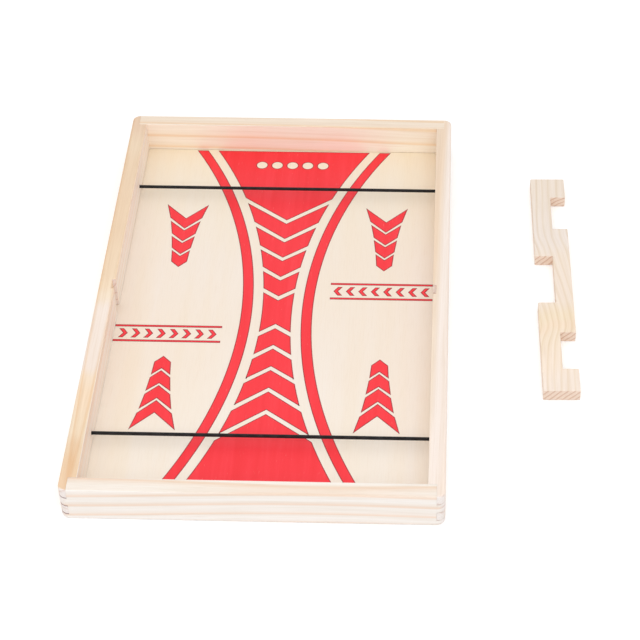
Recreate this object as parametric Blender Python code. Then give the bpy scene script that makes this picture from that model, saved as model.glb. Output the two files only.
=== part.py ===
"""Sling-puck table game: an open pine tray with two elastics, and the gate board that lies beside it.

Metres, +Z up. The origin is on the tray's underside, at its centre, and +Y points to the far end.
"""

import math

import bmesh
import bpy
from mathutils import Vector

# Driving dimensions of the tray
tray_width = 0.220
tray_length = 0.350
tray_height = 0.024
rail_thickness = 0.010
corner_radius = 0.005
edge_radius = 0.0012

# Finger joints at the corners, counted down from the top
finger_height = 0.0066
finger_depth = 0.005

# Playing board, let into the rails from below
board_thickness = 0.0025
ledge_width = 0.005

# Upright groove in each side rail that holds the gate board
groove_width = 0.0084
groove_depth = 0.0022

# Elastics
elastic_diameter = 0.0022
elastic_height = 0.009
elastic_to_end = 0.0596
elastic_hole_diameter = 0.0028
recess_diameter = 0.0068
recess_depth = 0.005
knot_diameter = 0.0056
knot_length = 0.0034
knot_tail_length = 0.001

# Gate board, and where it lies on the table
gate_width = 0.0225
gate_edge_radius = 0.0004
pair_notch_length = 0.0322
pair_notch_depth = 0.0099
pair_notch_from_end = 0.0197
single_notch_length = 0.0444
single_notch_depth = 0.0115
gate_place_x = 0.1775
gate_place_y = 0.0297
gate_turn_degrees = 1.14

# Nails under the board
brad_shank_diameter = 0.0012
brad_length = 0.010
brad_head_diameter = 0.0024
brad_head_thickness = 0.0006
brad_point_length = 0.0012
side_brad_shares = (-0.9, -0.33, 0.33, 0.9)
end_brad_shares = (-0.7, 0, 0.7)

# Clearance between pieces that touch, and how far a cut runs past what it cuts
fit_gap = 0.0003
overrun = 0.001
merge_share = 0.01

half_width = tray_width / 2
half_length = tray_length / 2
inner_half_width = half_width - rail_thickness
inner_half_length = half_length - rail_thickness
joint_half_width = half_width - finger_depth
board_half_width = inner_half_width + ledge_width
board_half_length = inner_half_length + ledge_width
elastic_y = half_length - elastic_to_end

arc_steps = 6
small_arc_steps = 3
round_sides = 16
knot_steps = 8
knot_neck_degrees = 25


def clear_scene():
    for item in list(bpy.data.objects):
        bpy.data.objects.remove(item, do_unlink=True)


def make_material(name, color, roughness, metallic=0.0):
    material = bpy.data.materials.new(name)
    material.use_nodes = True
    shader = material.node_tree.nodes["Principled BSDF"]
    shader.inputs["Base Color"].default_value = (*color, 1.0)
    shader.inputs["Roughness"].default_value = roughness
    shader.inputs["Metallic"].default_value = metallic
    material.diffuse_color = (*color, 1.0)
    return material


def add_object(name, shape, material=None):
    """Puts a bmesh into the scene as a named object and frees it."""
    bmesh.ops.recalc_face_normals(shape, faces=shape.faces)
    mesh = bpy.data.meshes.new(name)
    shape.to_mesh(mesh)
    shape.free()
    item = bpy.data.objects.new(name, mesh)
    bpy.context.scene.collection.objects.link(item)
    if material:
        mesh.materials.append(material)
    return item


def add_cutter(name, shape):
    cutter = add_object(name, shape)
    cutter.hide_render = True
    cutter.display_type = "WIRE"
    return cutter


def cut(item, cutter, operation="DIFFERENCE"):
    modifier = item.modifiers.new(cutter.name, "BOOLEAN")
    modifier.operation = operation
    modifier.solver = "EXACT"
    modifier.object = cutter


def add_prism(shape, outline, low, high):
    """Extrudes a closed (x, y) outline between two heights."""
    face = shape.faces.new([shape.verts.new((x, y, low)) for x, y in outline])
    extruded = bmesh.ops.extrude_face_region(shape, geom=[face])["geom"]
    raised = [part for part in extruded if isinstance(part, bmesh.types.BMVert)]
    bmesh.ops.translate(shape, verts=raised, vec=(0, 0, high - low))


def add_block(shape, low, high):
    """A box between two opposite corners."""
    (x0, y0, z0), (x1, y1, z1) = low, high
    add_prism(shape, [(x0, y0), (x1, y0), (x1, y1), (x0, y1)], z0, z1)


def add_turned(shape, profile, start, axis):
    """Turns a profile of (distance along the axis, radius) points, from tip to tip, around an axis."""
    forward = Vector(axis)
    side = forward.orthogonal().normalized()
    base = Vector(start)
    points = [shape.verts.new(base + forward * along + side * radius) for along, radius in profile]
    edges = [shape.edges.new(pair) for pair in zip(points, points[1:])]
    bmesh.ops.spin(
        shape,
        geom=points + edges,
        cent=base,
        axis=forward,
        angle=2 * math.pi,
        steps=round_sides,
        use_merge=True,
    )
    bmesh.ops.remove_doubles(shape, verts=shape.verts, dist=fit_gap * merge_share)


def tray_outside():
    """The tray's outer shape, with upright corners and long edges rounded."""
    shape = bmesh.new()
    add_block(shape, (-half_width, -half_length, 0), (half_width, half_length, tray_height))
    upright = [edge for edge in shape.edges if edge.verts[0].co.z != edge.verts[1].co.z]
    bmesh.ops.bevel(
        shape, geom=upright, offset=corner_radius, segments=arc_steps, profile=0.5, affect="EDGES"
    )
    shape.normal_update()
    flat = [face for face in shape.faces if abs(face.normal.z) > 0.9]
    rims = list({edge for face in flat for edge in face.edges})
    bmesh.ops.bevel(
        shape, geom=rims, offset=edge_radius, segments=small_arc_steps, profile=0.5, affect="EDGES"
    )
    return add_cutter("tray_outside", shape)


def tray_inside():
    """The opening inside the rails, flared at the top so that it rounds their inner edges."""
    shape = bmesh.new()
    levels = [(0, -overrun)]
    for step in range(small_arc_steps + 1):
        angle = math.radians(90 * step / small_arc_steps)
        spread = edge_radius * (1 - math.cos(angle))
        rise = edge_radius * math.sin(angle)
        levels.append((spread, tray_height - edge_radius + rise))
    levels.append((edge_radius, tray_height + overrun))
    rings = []
    for spread, height in levels:
        x = inner_half_width + spread
        y = inner_half_length + spread
        corners = [(-x, -y), (x, -y), (x, y), (-x, y)]
        rings.append([shape.verts.new((*corner, height)) for corner in corners])
    for below, above in zip(rings, rings[1:]):
        for corner in range(4):
            after = (corner + 1) % 4
            shape.faces.new([below[corner], below[after], above[after], above[corner]])
    shape.faces.new(rings[0])
    shape.faces.new(rings[-1])
    return add_cutter("tray_inside", shape)


def board_pocket():
    """The step under the rails that the board sits in."""
    shape = bmesh.new()
    x = board_half_width + fit_gap
    y = board_half_length + fit_gap
    add_block(shape, (-x, -y, -overrun), (x, y, board_thickness + fit_gap))
    return add_cutter("board_pocket", shape)


def finger_layers():
    """Heights (low, high) of the four joint layers, from the top down."""
    lines = [tray_height - finger_height * count for count in range(4)] + [0]
    return [(low, high) for high, low in zip(lines, lines[1:])]


def finger_gaps(name, layers, inner_x, inner_y):
    """Slots in a rail's ends where the other rail's fingers pass, half a clearance larger all round."""
    shape = bmesh.new()
    for low, high in layers:
        bottom = low - (overrun if low == 0 else fit_gap / 2)
        top = high + (overrun if high == tray_height else fit_gap / 2)
        for a in (-1, 1):
            for b in (-1, 1):
                x = sorted((a * inner_x, a * (half_width + overrun)))
                y = sorted((b * inner_y, b * (half_length + overrun)))
                add_block(shape, (x[0], y[0], bottom), (x[1], y[1], top))
    return add_cutter(name, shape)


def gate_grooves():
    shape = bmesh.new()
    for side in (-1, 1):
        x = sorted((side * (inner_half_width - overrun), side * (inner_half_width + groove_depth)))
        add_block(
            shape, (x[0], -groove_width / 2, -overrun), (x[1], groove_width / 2, tray_height + overrun)
        )
    return add_cutter("gate_grooves", shape)


def elastic_holes():
    """Each elastic's hole through a side rail, with the wide recess for its knot on the outside."""
    shape = bmesh.new()
    for side in (-1, 1):
        for y in (-elastic_y, elastic_y):
            start = (side * (inner_half_width - overrun), y, elastic_height)
            hole_length = rail_thickness - recess_depth + overrun
            profile = [
                (0, 0),
                (0, elastic_hole_diameter / 2),
                (hole_length, elastic_hole_diameter / 2),
                (hole_length, recess_diameter / 2),
                (hole_length + recess_depth + overrun, recess_diameter / 2),
                (hole_length + recess_depth + overrun, 0),
            ]
            add_turned(shape, profile, start, (side, 0, 0))
    return add_cutter("elastic_holes", shape)


def brad_places():
    """(name, x, y) of each nail, half way across the ledge that the board sits on."""
    side_x = inner_half_width + ledge_width / 2
    end_y = inner_half_length + ledge_width / 2
    places = []
    for name, side in (("left", -1), ("right", 1)):
        for count, share in enumerate(side_brad_shares, 1):
            places.append((f"brad_{name}_{count}", side * side_x, share * inner_half_length))
    for name, end in (("near", -1), ("far", 1)):
        for count, share in enumerate(end_brad_shares, 1):
            places.append((f"brad_{name}_{count}", share * inner_half_width, end * end_y))
    return places


def brad_holes():
    """Pilot holes through the board into the rails, with a seat for each head."""
    shape = bmesh.new()
    hole_radius = brad_shank_diameter / 2 + fit_gap
    seat_radius = brad_head_diameter / 2 + fit_gap
    seat_depth = brad_head_thickness + fit_gap
    profile = [
        (0, 0),
        (0, seat_radius),
        (overrun + seat_depth, seat_radius),
        (overrun + seat_depth, hole_radius),
        (overrun + brad_length + fit_gap, hole_radius),
        (overrun + brad_length + fit_gap, 0),
    ]
    for _, x, y in brad_places():
        add_turned(shape, profile, (x, y, -overrun), (0, 0, 1))
    return add_cutter("brad_holes", shape)


def make_side_rail(name, side, cutters, material):
    """A side rail, whose outer half runs on past the end rail as fingers."""
    outer = side * (half_width + overrun)
    inner = side * inner_half_width
    joint = side * (joint_half_width + fit_gap / 2)
    body_end = inner_half_length - fit_gap
    finger_end = half_length + overrun
    outline = [
        (outer, -finger_end),
        (joint, -finger_end),
        (joint, -body_end),
        (inner, -body_end),
        (inner, body_end),
        (joint, body_end),
        (joint, finger_end),
        (outer, finger_end),
    ]
    shape = bmesh.new()
    add_prism(shape, outline, -overrun, tray_height + overrun)
    rail = add_object(name, shape, material)
    for key in ("inside", "side_gaps", "pocket", "grooves", "elastic_holes", "brad_holes"):
        cut(rail, cutters[key])
    cut(rail, cutters["outside"], "INTERSECT")
    return rail


def make_end_rail(name, end, cutters, material):
    """An end rail, which fills the tray's width except where the side rails' fingers pass."""
    x = half_width + overrun
    y = sorted((end * inner_half_length, end * (half_length + overrun)))
    shape = bmesh.new()
    add_block(shape, (-x, y[0], -overrun), (x, y[1], tray_height + overrun))
    rail = add_object(name, shape, material)
    for key in ("inside", "end_gaps", "pocket", "brad_holes"):
        cut(rail, cutters[key])
    cut(rail, cutters["outside"], "INTERSECT")
    return rail


def make_board(cutters, material):
    shape = bmesh.new()
    low = (-board_half_width, -board_half_length, 0)
    high = (board_half_width, board_half_length, board_thickness)
    add_block(shape, low, high)
    board = add_object("playing_board", shape, material)
    cut(board, cutters["brad_holes"])
    return board


def make_elastic(name, y, material):
    """A straight elastic from recess floor to recess floor, through both side rails."""
    reach = half_width - recess_depth
    curve = bpy.data.curves.new(name, "CURVE")
    curve.dimensions = "3D"
    curve.bevel_depth = elastic_diameter / 2
    curve.bevel_resolution = 2
    curve.use_fill_caps = True
    spline = curve.splines.new("POLY")
    spline.points.add(1)
    for point, x in zip(spline.points, (-reach, reach)):
        point.co = (x, 0, 0, 1)
    curve.materials.append(material)
    elastic = bpy.data.objects.new(name, curve)
    elastic.location = (0, y, elastic_height)
    bpy.context.scene.collection.objects.link(elastic)
    return elastic


def make_knot(name, side, y, material):
    """A pulled-tight knot and its cut tail, inside the recess."""
    profile = [(0, 0)]
    neck = math.radians(knot_neck_degrees)
    for step in range(knot_steps + 1):
        angle = neck + (math.pi - 2 * neck) * step / knot_steps
        along = knot_length / 2 * (1 - math.cos(angle) / math.cos(neck))
        profile.append((along, knot_diameter / 2 * math.sin(angle)))
    whole_length = knot_length + knot_tail_length
    profile += [(knot_length, elastic_diameter / 2), (whole_length, elastic_diameter / 2), (whole_length, 0)]
    shape = bmesh.new()
    start = (side * (half_width - recess_depth + fit_gap), y, elastic_height)
    add_turned(shape, profile, start, (side, 0, 0))
    knot = add_object(name, shape, material)
    knot.data.shade_smooth()
    knot.data.set_sharp_from_angle(angle=math.radians(40))
    return knot


def make_brad(name, x, y, material):
    shank_radius = brad_shank_diameter / 2
    profile = [
        (0, 0),
        (0, brad_head_diameter / 2),
        (brad_head_thickness, brad_head_diameter / 2),
        (brad_head_thickness, shank_radius),
        (brad_length - brad_point_length, shank_radius),
        (brad_length, 0),
    ]
    shape = bmesh.new()
    add_turned(shape, profile, (0, 0, 0), (0, 0, 1))
    brad = add_object(name, shape, material)
    brad.location = (x, y, 0)
    return brad


def gate_outline():
    """The gate board seen from above: two notches on its right edge, and a longer one on its left."""
    end = inner_half_width + groove_depth - fit_gap
    right = gate_width / 2
    left = -gate_width / 2
    pair_far = end - pair_notch_from_end
    pair_near = pair_far - pair_notch_length
    single_end = single_notch_length / 2
    return [
        (left, -end),
        (right, -end),
        (right, -pair_far),
        (right - pair_notch_depth, -pair_far),
        (right - pair_notch_depth, -pair_near),
        (right, -pair_near),
        (right, pair_near),
        (right - pair_notch_depth, pair_near),
        (right - pair_notch_depth, pair_far),
        (right, pair_far),
        (right, end),
        (left, end),
        (left, single_end),
        (left + single_notch_depth, single_end),
        (left + single_notch_depth, -single_end),
        (left, -single_end),
    ]


def make_gate(material):
    gate_thickness = groove_width - 2 * fit_gap
    shape = bmesh.new()
    add_prism(shape, gate_outline(), 0, gate_thickness)
    gate = add_object("gate_board", shape, material)
    gate.location = (gate_place_x, gate_place_y, 0)
    gate.rotation_euler = (0, 0, math.radians(gate_turn_degrees))
    bevel = gate.modifiers.new("eased_edges", "BEVEL")
    bevel.width = gate_edge_radius
    bevel.segments = 2
    bevel.limit_method = "ANGLE"
    return gate


def main():
    clear_scene()
    layers = finger_layers()
    cutters = {
        "outside": tray_outside(),
        "inside": tray_inside(),
        "pocket": board_pocket(),
        "side_gaps": finger_gaps(
            "side_rail_finger_gaps", layers[1::2], inner_half_width, inner_half_length - fit_gap
        ),
        "end_gaps": finger_gaps(
            "end_rail_finger_gaps", layers[0::2], joint_half_width - fit_gap / 2, inner_half_length - overrun
        ),
        "grooves": gate_grooves(),
        "elastic_holes": elastic_holes(),
        "brad_holes": brad_holes(),
    }
    for name, side in (("left_rail", -1), ("right_rail", 1)):
        make_side_rail(name, side, cutters, make_material(name, (0.86, 0.70, 0.50), 0.6))
    for name, end in (("near_rail", -1), ("far_rail", 1)):
        make_end_rail(name, end, cutters, make_material(name, (0.90, 0.78, 0.64), 0.6))
    make_board(cutters, make_material("playing_board", (0.90, 0.80, 0.64), 0.5))
    for name, end in (("near_elastic", -1), ("far_elastic", 1)):
        make_elastic(name, end * elastic_y, make_material(name, (0.02, 0.02, 0.02), 0.7))
        for word, side in (("left", -1), ("right", 1)):
            knot_name = f"{name}_{word}_knot"
            knot_material = make_material(knot_name, (0.02, 0.02, 0.02), 0.7)
            make_knot(knot_name, side, end * elastic_y, knot_material)
    for name, x, y in brad_places():
        make_brad(name, x, y, make_material(name, (0.6, 0.6, 0.58), 0.35, 1.0))
    make_gate(make_material("gate_board", (0.82, 0.62, 0.38), 0.6))


main()
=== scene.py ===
import math

import bmesh
import bpy
from mathutils import Euler, Matrix, Vector


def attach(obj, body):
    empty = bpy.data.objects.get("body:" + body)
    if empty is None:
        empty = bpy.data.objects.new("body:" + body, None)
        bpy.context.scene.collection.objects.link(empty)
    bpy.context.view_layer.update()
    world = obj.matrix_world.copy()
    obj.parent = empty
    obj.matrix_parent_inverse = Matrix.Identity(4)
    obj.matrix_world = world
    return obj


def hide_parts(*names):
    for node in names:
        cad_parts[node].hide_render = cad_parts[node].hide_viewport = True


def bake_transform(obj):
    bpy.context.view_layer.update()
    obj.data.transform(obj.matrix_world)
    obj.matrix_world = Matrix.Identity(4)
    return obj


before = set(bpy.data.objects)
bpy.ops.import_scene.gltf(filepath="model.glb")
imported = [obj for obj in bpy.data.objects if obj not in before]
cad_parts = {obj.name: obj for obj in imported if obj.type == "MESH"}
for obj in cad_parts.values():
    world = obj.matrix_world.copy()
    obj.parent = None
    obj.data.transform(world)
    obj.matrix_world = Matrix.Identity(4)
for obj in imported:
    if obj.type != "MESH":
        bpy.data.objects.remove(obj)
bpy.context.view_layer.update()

# The side rails: two planed pine strips, each with half of its thickness running on past the end
# rails as fingers. They are cut square, glued up, then sanded round along every long edge, with an
# upright groove for the gate board and a bored hole with a wide seat for each elastic.
tray_width = 0.220
tray_length = 0.350
tray_height = 0.024
rail_thickness = 0.010
corner_radius = 0.005
corner_steps = 10
long_edge_radius = 0.0012
long_edge_steps = 4
arris = 0.00005
arris_steps = 2
sharp_angle = math.radians(50)
smooth_angle = math.radians(35)
merge_gap = 0.000002
half_width = tray_width / 2
half_length = tray_length / 2
inside_x = half_width - rail_thickness
inside_y = half_length - rail_thickness
finger_height = 0.0066
finger_thickness = 0.005
finger_seam_x = half_width - finger_thickness
glue_line = 0.00006
glue_stain_colour = (0.42, 0.30, 0.33)
finger_gap = 0.00026
pocket_height = 0.0028
pocket_x = 0.1053
pocket_y = 0.1703
groove_width = 0.0084
groove_depth = 0.0022
elastic_y = 0.1154
elastic_height = 0.009
elastic_hole = 0.0028
knot_seat_width = 0.0068
knot_seat_depth = 0.005
hole_sides = 32
seat_sides = 56
# How far a cutting shape reaches beyond the wood.
past = 0.001


def start_block(name, low, high):
    """A cube sized and placed between two corners, as the start of a piece."""
    if bpy.context.mode != "OBJECT":
        bpy.ops.object.mode_set(mode="OBJECT")
    bpy.ops.object.select_all(action="DESELECT")
    low, high = Vector(low), Vector(high)
    bpy.ops.mesh.primitive_cube_add(size=1, location=(low + high) / 2)
    piece = bpy.context.object
    piece.name = name
    piece.scale = high - low
    bpy.ops.object.transform_apply(location=True, rotation=True, scale=True)
    return piece


def start_drill(name, start, end, diameter, sides):
    """A cylinder from one point to another, used as a drill bit."""
    bpy.ops.object.select_all(action="DESELECT")
    start, end = Vector(start), Vector(end)
    along = end - start
    turn = Vector((0, 0, 1)).rotation_difference(along).to_euler()
    bpy.ops.mesh.primitive_cylinder_add(
        vertices=sides,
        radius=diameter / 2,
        depth=along.length,
        location=(start + end) / 2,
        rotation=turn,
    )
    drill = bpy.context.object
    drill.name = name
    bpy.ops.object.transform_apply(location=True, rotation=True, scale=True)
    return drill


def only(piece):
    """Makes this the one selected and active object."""
    bpy.ops.object.select_all(action="DESELECT")
    piece.select_set(True)
    bpy.context.view_layer.objects.active = piece


def work(piece, tool, how="DIFFERENCE"):
    """Cuts a piece with another shape, which is used up."""
    only(piece)
    bpy.ops.object.modifier_add(type="BOOLEAN")
    step = piece.modifiers[-1]
    step.operation = how
    step.solver = "EXACT"
    step.object = tool
    bpy.ops.object.modifier_apply(modifier=step.name)
    bpy.data.objects.remove(tool, do_unlink=True)


def round_edges(piece, chosen, radius, steps):
    """Rounds the edges whose middle and direction pass the test."""
    only(piece)
    bpy.ops.object.mode_set(mode="EDIT")
    bpy.ops.mesh.select_mode(type="EDGE")
    bpy.ops.mesh.select_all(action="DESELECT")
    shape = bmesh.from_edit_mesh(piece.data)
    for edge in shape.edges:
        a, b = (corner.co for corner in edge.verts)
        edge.select_set(bool(chosen((a + b) / 2, (b - a).normalized())))
    bmesh.update_edit_mesh(piece.data)
    bpy.ops.mesh.bevel(offset=radius, segments=steps, profile=0.5, affect="EDGES")
    bpy.ops.object.mode_set(mode="OBJECT")


def ease_and_smooth(piece, ease):
    """Takes the sharpness off every cut edge, then shades the roundings smooth and the faces flat."""
    only(piece)
    bpy.ops.object.mode_set(mode="EDIT")
    bpy.ops.mesh.select_all(action="SELECT")
    bpy.ops.mesh.remove_doubles(threshold=merge_gap)
    bpy.ops.mesh.normals_make_consistent(inside=False)
    bpy.ops.object.mode_set(mode="OBJECT")
    if ease:
        bpy.ops.object.modifier_add(type="BEVEL")
        step = piece.modifiers[-1]
        step.width = ease
        step.segments = arris_steps
        step.limit_method = "ANGLE"
        step.angle_limit = sharp_angle
        bpy.ops.object.modifier_apply(modifier=step.name)
        bpy.ops.object.mode_set(mode="EDIT")
        bpy.ops.mesh.select_all(action="SELECT")
        bpy.ops.mesh.remove_doubles(threshold=merge_gap / 2)
        bpy.ops.object.mode_set(mode="OBJECT")
    bpy.ops.object.shade_smooth_by_angle(angle=smooth_angle)
    bpy.ops.object.modifier_add(type="WEIGHTED_NORMAL")
    step = piece.modifiers[-1]
    step.keep_sharp = True
    bpy.ops.object.modifier_apply(modifier=step.name)


def near(value, target):
    """Whether two places are the same to a hundredth of a millimetre."""
    return abs(value - target) < 0.00001


def make_side_rail(name, side):
    """One side rail, finished: side is -1 for the left one and 1 for the right one."""
    outer = side * half_width
    inner = side * inside_x
    low = (min(outer, inner), -half_length, 0)
    high = (max(outer, inner), half_length, tray_height)
    rail = start_block(name, low, high)
    round_edges(
        rail, lambda m, d: abs(d.z) > 0.9 and near(m.x, outer), corner_radius, corner_steps
    )
    rims = (0, tray_height)
    round_edges(
        rail,
        lambda m, d: any(near(m.z, rim) for rim in rims) and not near(m.x, inner) and abs(d.z) < 0.1,
        long_edge_radius,
        long_edge_steps,
    )
    round_edges(
        rail,
        lambda m, d: near(m.z, tray_height) and near(m.x, inner) and abs(d.y) > 0.9,
        long_edge_radius,
        long_edge_steps,
    )
    seam = side * (finger_seam_x + glue_line / 2)
    body_end = inside_y - glue_line
    for end in (-1, 1):
        x = sorted((side * (inside_x - past), seam))
        y = sorted((end * body_end, end * (half_length + past)))
        work(rail, start_block("end_cut", (x[0], y[0], -past), (x[1], y[1], tray_height + past)))
        for count in (1, 3):
            top = tray_height - finger_height * count + finger_gap / 2
            bottom = -past if count == 3 else top - finger_height - finger_gap
            x = sorted((side * (inside_x - past), side * (half_width + past)))
            work(rail, start_block("finger_slot", (x[0], y[0], bottom), (x[1], y[1], top)))
        hole_y = end * elastic_y
        seat_x = half_width - knot_seat_depth
        inner_end = (side * (inside_x - past), hole_y, elastic_height)
        seat = (side * seat_x, hole_y, elastic_height)
        outer_end = (side * (half_width + past), hole_y, elastic_height)
        work(rail, start_drill("elastic_drill", inner_end, outer_end, elastic_hole, hole_sides))
        work(rail, start_drill("seat_drill", seat, outer_end, knot_seat_width, seat_sides))
    x = sorted((side * (inside_x - past), side * pocket_x))
    work(rail, start_block("pocket_cut", (x[0], -pocket_y, -past), (x[1], pocket_y, pocket_height)))
    x = sorted((side * (inside_x - past), side * (inside_x + groove_depth)))
    low = (x[0], -groove_width / 2, -past)
    high = (x[1], groove_width / 2, tray_height + past)
    work(rail, start_block("groove_cut", low, high))
    ease_and_smooth(rail, arris)
    return rail


def link_all(nodes, links):
    """Joins node sockets, each link being (node, output, node, input)."""
    for a, out, b, into in links:
        nodes.id_data.links.new(a.outputs[out], b.inputs[into])


def feed(nodes, value, node, socket):
    """Joins an output to a socket of a node."""
    nodes.id_data.links.new(value, node.inputs[socket])


def add_node(nodes, kind, **settings):
    """A shader node of one kind, with its settings."""
    node = nodes.new("ShaderNode" + kind)
    for key, value in settings.items():
        setattr(node, key, value)
    return node


def ramp(nodes, stops, curve="LINEAR"):
    """A colour ramp from (position, colour) stops."""
    node = nodes.new("ShaderNodeValToRGB")
    band = node.color_ramp
    band.interpolation = curve
    while len(band.elements) > 1:
        band.elements.remove(band.elements[-1])
    band.elements[0].position = stops[0][0]
    band.elements[0].color = (*stops[0][1], 1)
    for position, colour in stops[1:]:
        band.elements.new(position).color = (*colour, 1)
    return node


def math_node(nodes, operation, a=None, b=None, c=None, clamp=False):
    """The result of one calculation, on numbers and the outputs of other nodes."""
    node = nodes.new("ShaderNodeMath")
    node.operation = operation
    node.use_clamp = clamp
    for slot, value in enumerate((a, b, c)):
        if value is None:
            continue
        if isinstance(value, (int, float)):
            node.inputs[slot].default_value = value
        else:
            feed(nodes, value, node, slot)
    return node.outputs[0]


def mix_colour(nodes, how, amount, a, b):
    """Colour b laid over colour a, in one of the ways of mixing and by an amount."""
    node = nodes.new("ShaderNodeMix")
    node.data_type = "RGBA"
    node.blend_type = how
    for slot, value in ((0, amount), (6, a), (7, b)):
        if isinstance(value, (int, float)):
            node.inputs[slot].default_value = value
        elif isinstance(value, tuple):
            node.inputs[slot].default_value = (*value, 1)
        else:
            feed(nodes, value, node, slot)
    return node.outputs[2]


def start_finish(name):
    """A new material, with its nodes and its shader."""
    finish = bpy.data.materials.new(name)
    finish.use_nodes = True
    nodes = finish.node_tree.nodes
    return finish, nodes, nodes["Principled BSDF"]


def noise(nodes, vector, scale, detail, shift=(0, 0, 0)):
    """Noise read from a place that is scaled along each axis, then shifted. A larger scale is finer."""
    lay = add_node(nodes, "Mapping")
    lay.inputs["Location"].default_value = shift
    lay.inputs["Scale"].default_value = scale
    grain = add_node(nodes, "TexNoise")
    grain.inputs["Scale"].default_value = 1
    grain.inputs["Detail"].default_value = detail
    feed(nodes, vector, lay, "Vector")
    feed(nodes, lay.outputs["Vector"], grain, "Vector")
    return grain


def roughen(nodes, shader, height, strength, depth):
    """Fine relief from a height, on top of the modelled shape."""
    bump = add_node(nodes, "Bump")
    bump.inputs["Strength"].default_value = strength
    bump.inputs["Distance"].default_value = depth
    feed(nodes, height, bump, "Height")
    feed(nodes, bump.outputs["Normal"], shader, "Normal")


def joint_edge(nodes, place):
    """One along the edges of the corner joints' fingers, where glue has darkened the saw cuts, most
    at the left corners, and nought elsewhere. Fingers are counted down from the top."""
    edge_share = 0.055
    share_at_middle = 0.55
    share_per_metre = -4.0
    spot = add_node(nodes, "SeparateXYZ")
    link_all(nodes, [(place, "Object", spot, 0)])
    fingers = math_node(nodes, "SUBTRACT", tray_height, spot.outputs["Z"])
    fingers = math_node(nodes, "DIVIDE", fingers, finger_height)
    apart = math_node(nodes, "PINGPONG", fingers, 0.5)
    edge = math_node(nodes, "LESS_THAN", apart, edge_share)
    edge = math_node(nodes, "MULTIPLY", edge, math_node(nodes, "GREATER_THAN", fingers, 0.5))
    edge = math_node(nodes, "MULTIPLY", edge, math_node(nodes, "LESS_THAN", fingers, 3.5))
    beyond = math_node(nodes, "ABSOLUTE", spot.outputs["X"])
    beyond = math_node(nodes, "GREATER_THAN", beyond, finger_seam_x)
    edge = math_node(nodes, "MULTIPLY", edge, beyond)
    beyond = math_node(nodes, "ABSOLUTE", spot.outputs["Y"])
    beyond = math_node(nodes, "GREATER_THAN", beyond, inside_y)
    edge = math_node(nodes, "MULTIPLY", edge, beyond)
    share = math_node(
        nodes, "MULTIPLY_ADD", spot.outputs["X"], share_per_metre, share_at_middle, clamp=True
    )
    return math_node(nodes, "MULTIPLY", edge, share)


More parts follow.
